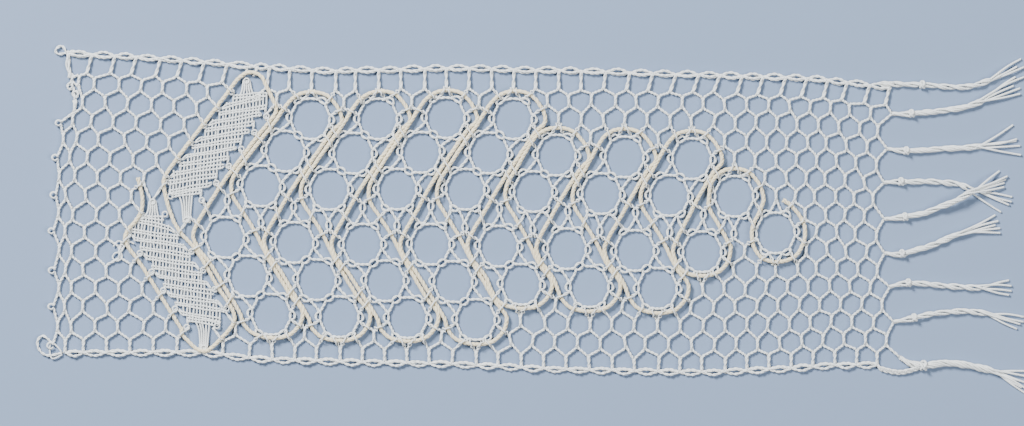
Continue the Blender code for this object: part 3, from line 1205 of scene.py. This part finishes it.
@dataclass
class Gimp:
    """The thick thread: soft plies laid round each other, with a frayed cut end at each end."""

    route: np.ndarray
    height: float = 0.52
    plies: int = 3
    ply_radius: float = 0.15
    offset: float = 0.122
    pitch: float = 1.75
    step: float = 0.24
    fray: float = 1.1
    sway: float = 0.05
    seed: int = 5

    def build(self) -> bpy.types.Object:
        """Lays the plies.

        Returns:
            The piece.
        """
        chance = random.Random(self.seed)
        mesh = ThreadMesh(sides=6)
        line = level(self.route, self.height)
        run = np.concatenate([[0], np.cumsum(np.linalg.norm(np.diff(line, axis=0), axis=1))])
        fine = np.arange(0, run[-1], self.step)
        line = np.column_stack([np.interp(fine, run, line[:, axis]) for axis in range(3)])
        wander = self.sway * np.sin(fine / 5.3 + 1.0) + 0.6 * self.sway * np.sin(fine / 2.1)
        line[:, :2] += (wander[:, None] * sideways(line))[:, :2]
        ends = np.clip(np.minimum(fine, fine[-1] - fine) / self.fray, 0, 1)
        for ply in range(self.plies):
            angle = 2 * math.pi * (fine / self.pitch + ply / self.plies)
            away = np.cos(angle)[:, None] * sideways(line) + np.sin(angle)[:, None] * UP
            loose = self.offset * (1 + 0.9 * (1 - ends)) * (1 + 0.1 * chance.gauss(0, 1))
            radius = self.ply_radius * (0.75 + 0.25 * ends) * (1 + 0.06 * np.sin(fine / 1.3 + 2 * ply))
            mesh.add(line + loose[:, None] * away, radius)
        return mesh.build("outlining_gimp")


@dataclass(frozen=True)
class LoosePath:
    """One stray thread: its points in mm before the piece is centred, and whether it is a pair."""

    points: tuple[Point, ...]
    paired: bool = True


@dataclass
class LeftEnd:
    """The start of the work: hung-in loops, the strand down the corner and the stray thread ends."""

    net: Net
    paths: tuple[LoosePath, ...]
    step: float = 0.18
    twist_length: float = 0.75

    def build(self) -> bpy.types.Object:
        """Lays each stray thread.

        Returns:
            The piece.
        """
        mesh = ThreadMesh()
        thread = self.net.thread
        centre = np.array([*self.net.pricking.centre, 0.0])
        for path in self.paths:
            points = [np.array([*point, thread.height]) - centre for point in path.points]
            line = smooth(points, self.step)
            line[:, 2] = np.maximum(line[:, 2], thread.radius)
            run = float(np.linalg.norm(np.diff(line, axis=0), axis=1).sum())
            if path.paired:
                mesh.pair(line, run / self.twist_length, thread.radius, thread.gap)
            else:
                mesh.add(line, thread.radius)
        return mesh.build("start_threads")


@dataclass
class Tassel:
    """One bunch of thread ends: knotted beside the lace, then twisted, then fanned out.

    `course` is its middle line from the knot and `tips` the thread ends, in mm before the piece is
    centred. `lifts` raises the points of the course where the bunch crosses another.
    """

    net: Net
    number: int
    course: tuple[Point, ...]
    tips: tuple[Point, ...]
    lifts: tuple[float, ...] = ()
    thickness: float = 1.0
    height: float = 0.36
    bundle: float = 0.23
    step: float = 0.22
    twist_length: float = 4.4
    side_step: float = 0.95
    radius: float = 0.135
    knot_reach: tuple[float, float, float] = (0.33, 0.13, 0.24)
    fan: float = 0.55
    knot: int = 1

    def centred(self, point: Point) -> np.ndarray:
        """A point of the pattern in the model's own frame."""
        return np.array(point) - np.array(self.net.pricking.centre)

    def core(self) -> list[np.ndarray]:
        """The bunch's middle line.

        Returns:
            Its points, from the lace to where the thread ends part.
        """
        lifts = self.lifts or (0.0,) * len(self.course)
        points = []
        for point, lift in zip(self.course, lifts):
            points.append(np.array([*self.centred(point), self.height + lift]))
        place = (self.net.pricking.last_column + 1, 2 * self.number - 3)
        if place in self.net.stitches:
            points.insert(0, np.array([*self.net.stitches[place].middle, self.net.thread.height]))
        return points

    def build(self) -> bpy.types.Object:
        """Lays the threads and ties the knot.

        Returns:
            The piece.
        """
        mesh = ThreadMesh()
        core = self.core()
        chance = self.net.chance
        for strand, point in enumerate(self.tips):
            tip = np.array([*self.centred(point), self.radius + 0.1 * (strand % 2)])
            lead = smooth(core, self.step)
            run = np.concatenate([[0], np.cumsum(np.linalg.norm(np.diff(lead, axis=0), axis=1))])
            angle = 2 * math.pi * run / self.twist_length + math.pi * (strand % 2)
            angle = angle + self.side_step * (strand // 2)
            slack = 1 + 0.2 * np.sin(run / 1.7 + strand) + 0.12 * chance.gauss(0, 1)
            gather = self.bundle * self.thickness * np.clip(0.4 + run / 3, 0, 1) * slack
            lead = lead + (np.cos(angle) * gather)[:, None] * sideways(lead)
            lead[:, 2] = np.maximum(lead[:, 2] + np.sin(angle) * gather, self.radius)
            last = core[-1]
            bend = last + self.fan * (tip - last) + np.array([0, 0.12 * chance.gauss(0, 1), 0.1])
            tail = smooth([lead[-3], lead[-1], bend, tip], self.step)
            line = np.vstack([lead[:-3], tail])
            line[:, 2] = np.maximum(line[:, 2], self.radius)
            mesh.add(line, self.radius)
        self.tie(mesh, core)
        return mesh.build(f"tassel_{self.number}_threads")

    def tie(self, mesh: ThreadMesh, core: list[np.ndarray]) -> None:
        """Ties the overhand knot: a few turns of thread round the bunch.

        Args:
            mesh: The mesh that takes the threads.
            core: The bunch's middle line.
        """
        knot = core[self.knot]
        heading = core[self.knot + 1] - core[self.knot - 1]
        heading = heading / np.linalg.norm(heading)
        across = np.array([-heading[1], heading[0], 0.0])
        reach, swell, length = (self.thickness * size for size in self.knot_reach)
        angle = np.linspace(0, 2 * math.pi, 46)
        girth = reach + swell * np.cos(3 * angle)
        line = knot + np.outer(length * np.sin(3 * angle), heading)
        line = line + np.outer(girth * np.cos(2 * angle), across) + np.outer(girth * np.sin(2 * angle), UP)
        line[:, 2] = np.maximum(line[:, 2] + 0.1, self.radius)
        mesh.add(line, 1.1 * self.radius)


class Effect(Enum):
    """The surface effects that materials share."""

    PLY_TWIST = "ply_twist"
    UNEVEN_DYE = "uneven_dye"
    FUZZ = "fuzz"


@dataclass
class Shader:
    """Short ways to make and join nodes in one node tree."""

    tree: bpy.types.NodeTree

    def node(self, kind: str, values: dict | None = None, **settings: object) -> bpy.types.Node:
        """Adds a node.

        Args:
            kind: The node's type.
            values: Value, or socket to join, for each input by name or number.
            settings: Properties of the node.

        Returns:
            The node.
        """
        node = self.tree.nodes.new(kind)
        for name, value in settings.items():
            setattr(node, name, value)
        for name, value in (values or {}).items():
            if isinstance(value, bpy.types.NodeSocket):
                self.tree.links.new(value, node.inputs[name])
            else:
                node.inputs[name].default_value = value
        return node

    def maths(self, operation: str, first: object, second: object = 0.0) -> bpy.types.NodeSocket:
        """The result of a maths node."""
        return self.node("ShaderNodeMath", {0: first, 1: second}, operation=operation).outputs[0]

    def noise(self, vector: object, scale: object, detail: float) -> bpy.types.NodeSocket:
        """The value of a noise texture, from 0 to 1."""
        values = {"Vector": vector, "Scale": scale, "Detail": detail}
        return self.node("ShaderNodeTexNoise", values).outputs[0]

    def ramp(
        self, value: object, low: float, high: float, start: float = 0.0, end: float = 1.0,
    ) -> bpy.types.NodeSocket:
        """A value carried from the range low to high over to the range start to end."""
        values = {"Value": value, "From Min": low, "From Max": high, "To Min": start, "To Max": end}
        return self.node("ShaderNodeMapRange", values).outputs[0]

    def blend(self, share: object, first: object, second: object) -> bpy.types.NodeSocket:
        """A colour between two, with the share of the second. Its sockets 6 and 7 take colours."""
        return self.node("ShaderNodeMix", {0: share, 6: first, 7: second}, data_type="RGBA").outputs[2]

    def bump(self, height: object, depth: float, **normal: object) -> bpy.types.NodeSocket:
        """A normal raised by a height of some depth in metres, on top of another normal if one is given."""
        values = {"Strength": 1.0, "Distance": depth, "Height": height}
        values.update({name.capitalize(): socket for name, socket in normal.items()})
        return self.node("ShaderNodeBump", values).outputs[0]


@dataclass
class EffectLibrary:
    """Node groups for the shared effects, each made once. The scales are noise cells per metre."""

    ply_roundness: float = 0.6
    groove_sharpness: float = 3.0
    broad_scale: float = 140.0
    fine_scale: float = 2200.0
    tone_shares: Point = (0.7, 0.5)
    tone_range: Point = (0.38, 0.82)
    fibre_stretch: tuple[float, float, float] = (5.0, 1.0, 1.0)
    fibre_slant: tuple[float, float, float] = (0.0, 0.0, 0.5)
    fibre_range: Point = (0.5, 0.7)
    made: dict[Effect, bpy.types.NodeTree] = field(default_factory=dict)

    def group(self, effect: Effect) -> bpy.types.NodeTree:
        """The node group of an effect, made on first use."""
        if effect not in self.made:
            self.made[effect] = getattr(self, "make_" + effect.value)()
        return self.made[effect]

    def start(self, name: str, inputs: dict[str, tuple[str, float]], outputs: dict[str, str]) -> tuple:
        """An empty group with its sockets.

        Args:
            name: The group's name.
            inputs: Socket kind and default value for each input's name.
            outputs: Socket kind for each output's name.

        Returns:
            The group's tree, its node helper, its input node and its output node.
        """
        tree = bpy.data.node_groups.new(name, "ShaderNodeTree")
        for socket, (kind, value) in inputs.items():
            made = tree.interface.new_socket(socket, in_out="INPUT", socket_type="NodeSocket" + kind)
            made.default_value = value
        for socket, kind in outputs.items():
            tree.interface.new_socket(socket, in_out="OUTPUT", socket_type="NodeSocket" + kind)
        helper = Shader(tree)
        return tree, helper, helper.node("NodeGroupInput"), helper.node("NodeGroupOutput")

    def make_ply_twist(self) -> bpy.types.NodeTree:
        """Slanting grooves between the plies of a thread, from the thread's own length and girth.

        Returns:
            The group: a rounded height of the plies and a mask of the grooves, where the materials paint
                shade into the thread's colour.
        """
        inputs = {"Plies": ("Float", 2.0), "Pitch": ("Float", 0.6)}
        tree, make, given, result = self.start("ply_twist", inputs, {"Height": "Float", "Groove Shade": "Float"})
        place = make.node("ShaderNodeUVMap", uv_map="thread").outputs[0]
        parts = make.node("ShaderNodeSeparateXYZ", {0: place})
        turns = make.maths("DIVIDE", parts.outputs[1], given.outputs["Pitch"])
        around = make.maths("ADD", parts.outputs[0], turns)
        wave = make.maths("MULTIPLY", make.maths("MULTIPLY", around, given.outputs["Plies"]), math.pi)
        crest = make.maths("ABSOLUTE", make.maths("SINE", wave))
        height = make.maths("POWER", crest, self.ply_roundness)
        # Mask of the grooves between the plies, where the materials paint shade into the colour.
        groove_shade = make.maths("POWER", make.maths("SUBTRACT", 1.0, crest), self.groove_sharpness)
        tree.links.new(height, result.inputs["Height"])
        tree.links.new(groove_shade, result.inputs["Groove Shade"])
        return tree

    def make_uneven_dye(self) -> bpy.types.NodeTree:
        """Slow changes of tone from place to place, as in cotton that has aged.

        Returns:
            The group: the thread's colour.
        """
        inputs = {"Base": ("Color", (1, 1, 1, 1)), "Aged": ("Color", (1, 1, 1, 1)), "Amount": ("Float", 0.5)}
        tree, make, given, result = self.start("uneven_dye", inputs, {"Colour": "Color"})
        place = make.node("ShaderNodeTexCoord").outputs["Object"]
        broad = make.noise(place, self.broad_scale, 3.0)
        fine = make.noise(place, self.fine_scale, 2.0)
        parts = [make.maths("MULTIPLY", tone, part) for tone, part in zip((broad, fine), self.tone_shares)]
        share = make.ramp(make.maths("ADD", *parts), *self.tone_range)
        share = make.maths("MULTIPLY", share, given.outputs["Amount"])
        colour = make.blend(share, given.outputs["Base"], given.outputs["Aged"])
        tree.links.new(colour, result.inputs["Colour"])
        return tree

    def make_fuzz(self) -> bpy.types.NodeTree:
        """Fine fibres that lie along a thread.

        Returns:
            The group: a height and a mask of the smoother fibres.
        """
        inputs = {"Fineness": ("Float", 9.0)}
        tree, make, given, result = self.start("fuzz", inputs, {"Height": "Float", "Fibres": "Float"})
        place = make.node("ShaderNodeUVMap", uv_map="thread").outputs[0]
        values = {"Vector": place, "Rotation": self.fibre_slant, "Scale": self.fibre_stretch}
        stretched = make.node("ShaderNodeMapping", values).outputs[0]
        noise = make.noise(stretched, given.outputs["Fineness"], 3.0)
        fibres = make.ramp(noise, *self.fibre_range)
        tree.links.new(noise, result.inputs["Height"])
        tree.links.new(fibres, result.inputs["Fibres"])
        return tree


@dataclass(frozen=True)
class ThreadFinish:
    """How a cotton thread looks. The groove colour is painted shade, laid into the grooves between the plies.
    The twist's pitch is in mm, and the depths are in metres.
    """

    name: str
    slot: str
    base: tuple[float, float, float]
    aged: tuple[float, float, float]
    groove_shade: tuple[float, float, float]
    plies: float
    pitch: float
    twist_depth: float = 0.00003
    groove_shade_share: float = 0.8
    fuzz_depth: float = 0.00002
    fineness: float = 9.0
    unevenness: float = 0.6
    roughness: tuple[float, float] = (0.72, 0.95)
    sheen: float = 0.35
    sheen_roughness: float = 0.5
    ior: float = 1.46

    def material(self, effects: EffectLibrary) -> bpy.types.Material:
        """Makes the material.

        Args:
            effects: The shared effects.

        Returns:
            The material.
        """
        material = bpy.data.materials.new(self.name)
        material.use_nodes = True
        make = Shader(material.node_tree)
        shader = material.node_tree.nodes["Principled BSDF"]
        twist = make.node("ShaderNodeGroup", node_tree=effects.group(Effect.PLY_TWIST))
        twist.inputs["Plies"].default_value = self.plies
        twist.inputs["Pitch"].default_value = self.pitch
        fuzz = make.node("ShaderNodeGroup", node_tree=effects.group(Effect.FUZZ))
        fuzz.inputs["Fineness"].default_value = self.fineness
        dye = make.node("ShaderNodeGroup", node_tree=effects.group(Effect.UNEVEN_DYE))
        dye.inputs["Base"].default_value = (*self.base, 1.0)
        dye.inputs["Aged"].default_value = (*self.aged, 1.0)
        dye.inputs["Amount"].default_value = self.unevenness
        # Painted shade: the colour darkens toward the groove colour in the grooves between the plies.
        share = make.maths("MULTIPLY", twist.outputs["Groove Shade"], self.groove_shade_share)
        colour = make.blend(share, dye.outputs["Colour"], (*self.groove_shade, 1.0))
        smooth_fibre, rough_fibre = self.roughness
        rough = make.ramp(fuzz.outputs["Fibres"], 0.0, 1.0, rough_fibre, smooth_fibre)
        plies = make.bump(twist.outputs["Height"], self.twist_depth)
        fibres = make.bump(fuzz.outputs["Height"], self.fuzz_depth, normal=plies)
        links = material.node_tree.links
        links.new(colour, shader.inputs["Base Color"])
        links.new(rough, shader.inputs["Roughness"])
        links.new(fibres, shader.inputs["Normal"])
        shader.inputs["Sheen Weight"].default_value = self.sheen
        shader.inputs["Sheen Roughness"].default_value = self.sheen_roughness
        shader.inputs["IOR"].default_value = self.ior
        return material


# The groove colours are painted shade for the grooves between the plies.
WHITE_COTTON = ThreadFinish(
    "white_cotton", "lace_thread",
    base=(0.85, 0.88, 0.88), aged=(0.73, 0.78, 0.79), groove_shade=(0.60, 0.65, 0.66),
    plies=2, pitch=0.55,
)
IVORY_COTTON = ThreadFinish(
    "ivory_cotton", "gimp_thread",
    base=(0.88, 0.80, 0.60), aged=(0.80, 0.69, 0.45), groove_shade=(0.62, 0.53, 0.34),
    plies=4, pitch=1.3, fineness=12.0,
)


@dataclass(frozen=True)
class Studio:
    """The floor, the lamps and the camera, in metres. Each lamp has its place, its watts and its width."""

    floor_size: float = 3.0
    floor_colour: tuple[float, float, float] = (0.19, 0.26, 0.39)
    floor_roughness: Point = (0.85, 0.98)
    floor_grain: float = 900.0
    lens: float = 200.0
    camera: tuple[float, float, float] = (-0.00259, 0.00076, 0.711)
    lamps: tuple[tuple[tuple[float, float, float], float, float], ...] = (
        ((-0.30, 0.34, 0.42), 11.0, 0.16),
        ((0.45, -0.15, 0.55), 5.0, 0.4),
    )

    def build(self) -> None:
        """Sets up the scene round the object."""
        self.lay_floor()
        for place, power, size in self.lamps:
            lamp = bpy.data.lights.new("soft_lamp", "AREA")
            lamp.energy, lamp.size = power, size
            holder = bpy.data.objects.new("soft_lamp", lamp)
            holder.location = place
            holder.rotation_mode = "QUATERNION"
            holder.rotation_quaternion = (-Vector(place)).to_track_quat("-Z", "Y")
            bpy.context.scene.collection.objects.link(holder)
        camera = bpy.data.cameras.new("camera")
        camera.lens = self.lens
        holder = bpy.data.objects.new("camera", camera)
        holder.location = self.camera
        bpy.context.scene.collection.objects.link(holder)
        bpy.context.scene.camera = holder

    def lay_floor(self) -> None:
        """Lays the plain pale floor that the lace rests on."""
        bpy.ops.mesh.primitive_plane_add(size=self.floor_size)
        floor = bpy.context.object
        floor.name = "floor"
        material = bpy.data.materials.new("pale_floor")
        material.use_nodes = True
        make = Shader(material.node_tree)
        shader = material.node_tree.nodes["Principled BSDF"]
        place = make.node("ShaderNodeTexCoord").outputs["Object"]
        rough = make.ramp(make.noise(place, self.floor_grain, 4.0), 0.0, 1.0, *self.floor_roughness)
        material.node_tree.links.new(rough, shader.inputs["Roughness"])
        shader.inputs["Base Color"].default_value = (*self.floor_colour, 1.0)
        floor.data.materials.append(material)
        floor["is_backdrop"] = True


# Each leaf's name, first row, columns of the pins down each side, whether its rows rise to the
# right, the middles of its two end loops in mm, and the pin at which its first row ends.
LEAVES = (
    ("upper_leaf", 1, (13.0, 12.0, 11.0, 10.0, 9.0, 8.1, 8.5), (14.9, 15.9, 15.0, 14.0, 13.0, 12.0, 10.8),
     True, ((26.35, 16.5), (18.85, -0.85)), 1),
    ("lower_leaf", 8, (6.1, 5.0, 6.0, 7.0, 8.0, 9.0, 10.0), (7.7, 9.0, 10.0, 11.0, 12.0, 13.0, 12.2),
     False, ((14.6, 1.4), (21.0, -16.85)), 0),
)

# Where the two borders run on to their tied ends, in mm.
UPPER_TAIL = ((105.6, 16.15), (107.2, 16.1))
LOWER_TAIL = ((105.6, -19.45), (108.0, -19.9), (110.4, -19.3))

# Stray threads at the start of the work, in mm.
START_PATHS = (
    LoosePath((
        (3.9, 20.0), (3.3, 20.85), (2.6, 20.55), (2.55, 20.0),
        (3.1, 19.85), (4.1, 20.1), (5.0, 20.2), (7.4, 19.7),
    )),
    LoosePath(((4.05, 20.3), (3.95, 19.5), (3.8, 18.7), (3.9, 18.1), (4.1, 17.6)), False),
    LoosePath(((4.3, 20.2), (4.15, 19.4), (4.05, 18.7), (4.15, 18.0), (4.3, 17.4)), False),
    LoosePath((
        (4.1, 17.7), (4.6, 17.2), (4.45, 16.4), (4.2, 16.2),
        (3.95, 15.8), (4.2, 15.45), (4.6, 15.7), (4.45, 16.1),
    )),
    LoosePath((
        (4.5, 16.2), (4.75, 15.4), (4.65, 14.9), (4.85, 14.45), (5.3, 14.75), (5.1, 15.2), (4.75, 15.1),
        (4.9, 14.2), (5.05, 13.8), (4.9, 13.2), (4.85, 12.7),
    )),
    LoosePath(((4.6, 16.4), (5.2, 15.9), (5.5, 15.2))),
    LoosePath((
        (1.7, -15.9), (0.9, -15.35), (0.25, -15.9), (0.35, -16.9), (0.95, -17.6), (1.8, -17.8), (3.3, -17.45),
    )),
    LoosePath(((1.75, -15.95), (2.5, -16.5), (3.2, -17.3)), False),
    LoosePath(((1.0, -15.45), (1.75, -16.0), (1.75, -17.3), (2.1, -18.2), (3.3, -17.7)), False),
    LoosePath((
        (9.7, -4.2), (10.3, -3.5), (11.0, -3.9), (10.7, -4.8), (9.9, -5.0), (9.6, -5.6),
        (10.2, -6.0), (10.8, -5.5), (10.6, -4.7), (11.2, -4.1), (11.8, -3.6), (12.3, -3.9),
    ), False),
    LoosePath(((11.3, -4.0), (11.6, -3.2), (11.3, -2.5)), False),
    LoosePath(((12.0, -5.2), (11.5, -4.4), (11.65, -3.5), (11.5, -2.8)), False),
)

# Each tied end: its course in mm from the knot, then the tips of its threads.
TASSELS = (
    (((105.4, 16.15), (110.75, 16.0), (116.1, 15.75), (119.25, 16.6)),
     ((123.1, 19.25), (123.5, 18.25), (122.6, 18.3), (120.6, 17.4))),
    (((109.4, 12.4), (114.9, 13.0), (118.0, 13.85)),
     ((122.4, 17.0), (123.5, 17.0), (123.0, 15.6), (123.0, 14.9), (122.2, 15.9))),
    (((108.75, 7.75), (111.6, 7.9), (117.25, 8.25)),
     ((122.1, 11.0), (122.6, 9.25), (123.0, 8.4), (123.1, 7.25), (122.5, 9.0))),
    (((108.1, 3.9), (111.6, 3.9), (114.9, 3.7), (116.6, 3.0)),
     ((120.6, 0.1), (121.9, 1.4), (122.0, 2.0), (121.6, 1.0))),
    (((108.6, -0.5), (111.6, 0.2), (114.3, 1.3), (116.7, 2.5)),
     ((120.4, 5.25), (121.4, 4.6), (121.0, 3.75), (121.0, 3.25), (121.2, 4.2))),
    (((108.25, -5.1), (112.0, -4.0), (115.25, -2.6)),
     ((119.9, -0.25), (120.25, -1.0), (120.5, -1.9), (120.5, -2.5), (119.9, -1.5))),
    (((109.0, -8.75), (113.6, -9.1), (117.75, -9.35)),
     ((121.6, -8.4), (121.9, -9.1), (121.9, -9.75), (121.6, -10.25))),
    (((109.75, -13.1), (112.75, -12.5), (116.1, -12.25), (118.5, -12.5)),
     ((123.5, -13.0), (123.4, -13.6), (122.6, -14.5), (123.0, -13.9))),
    (((109.2, -18.75), (110.9, -19.1), (113.6, -18.75), (116.9, -19.1), (119.4, -19.7)),
     ((123.6, -19.75), (124.2, -20.5), (124.0, -21.3), (123.8, -22.0), (123.6, -22.5), (123.0, -21.0),
      (123.2, -21.8))),
)

# Left edge of the lower start loop and top of the upper one, in mm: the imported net's box gives the centre.
START_EDGE = 0.26
START_TOP = 20.647

# The tied end that lies over its neighbour, with how far each point of its course is raised, in mm.
CROSSING_TASSEL = 5
CROSSING_LIFTS = (0.0, 0.1, 0.5, 0.75)

# The last tied end also takes up the lower border: it is thicker, and knotted further along.
LAST_THICKNESS = 1.35
LAST_KNOT = 2


def main() -> None:
    """Builds every part of the lace, dresses it and sets up the studio."""
    logging.basicConfig(level=logging.INFO, format="%(name)s %(message)s")
    low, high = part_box("lace_ground")
    pricking = Pricking((START_EDGE - low[0] / MM, START_TOP - high[1] / MM))
    route = GimpRoute(pricking).line()
    net = Net(pricking, Thread(), route)
    ground, filling = net.build()
    borders = [Footside(net, True, UPPER_TAIL).build(), Footside(net, False, LOWER_TAIL).build()]
    leaves = [Leaf(net, *facts).build() for facts in LEAVES]
    start = LeftEnd(net, START_PATHS).build()
    tassels = []
    for number, (course, tips) in enumerate(TASSELS, 1):
        tassel = Tassel(net, number, course, tips)
        if number == CROSSING_TASSEL:
            tassel.lifts = CROSSING_LIFTS
        if number == len(TASSELS):
            tassel.thickness, tassel.knot = LAST_THICKNESS, LAST_KNOT
        tassels.append(tassel.build())
        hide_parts(f"tassel_{number}")
    gimp = Gimp(route).build()
    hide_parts("lace_ground")
    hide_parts("gimp_thread")
    effects = EffectLibrary()
    white, ivory = WHITE_COTTON.material(effects), IVORY_COTTON.material(effects)
    cottons = [ground, filling, *borders, *leaves, start, *tassels]
    for piece in [*cottons, gimp]:
        finish = IVORY_COTTON if piece is gimp else WHITE_COTTON
        piece.data.materials.append(ivory if piece is gimp else white)
        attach(piece, "root")
        LOG.info("%s dressed in %s", piece.name, finish.name)
    Studio().build()
    low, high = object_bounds()


if __name__ == "__main__":
    main()
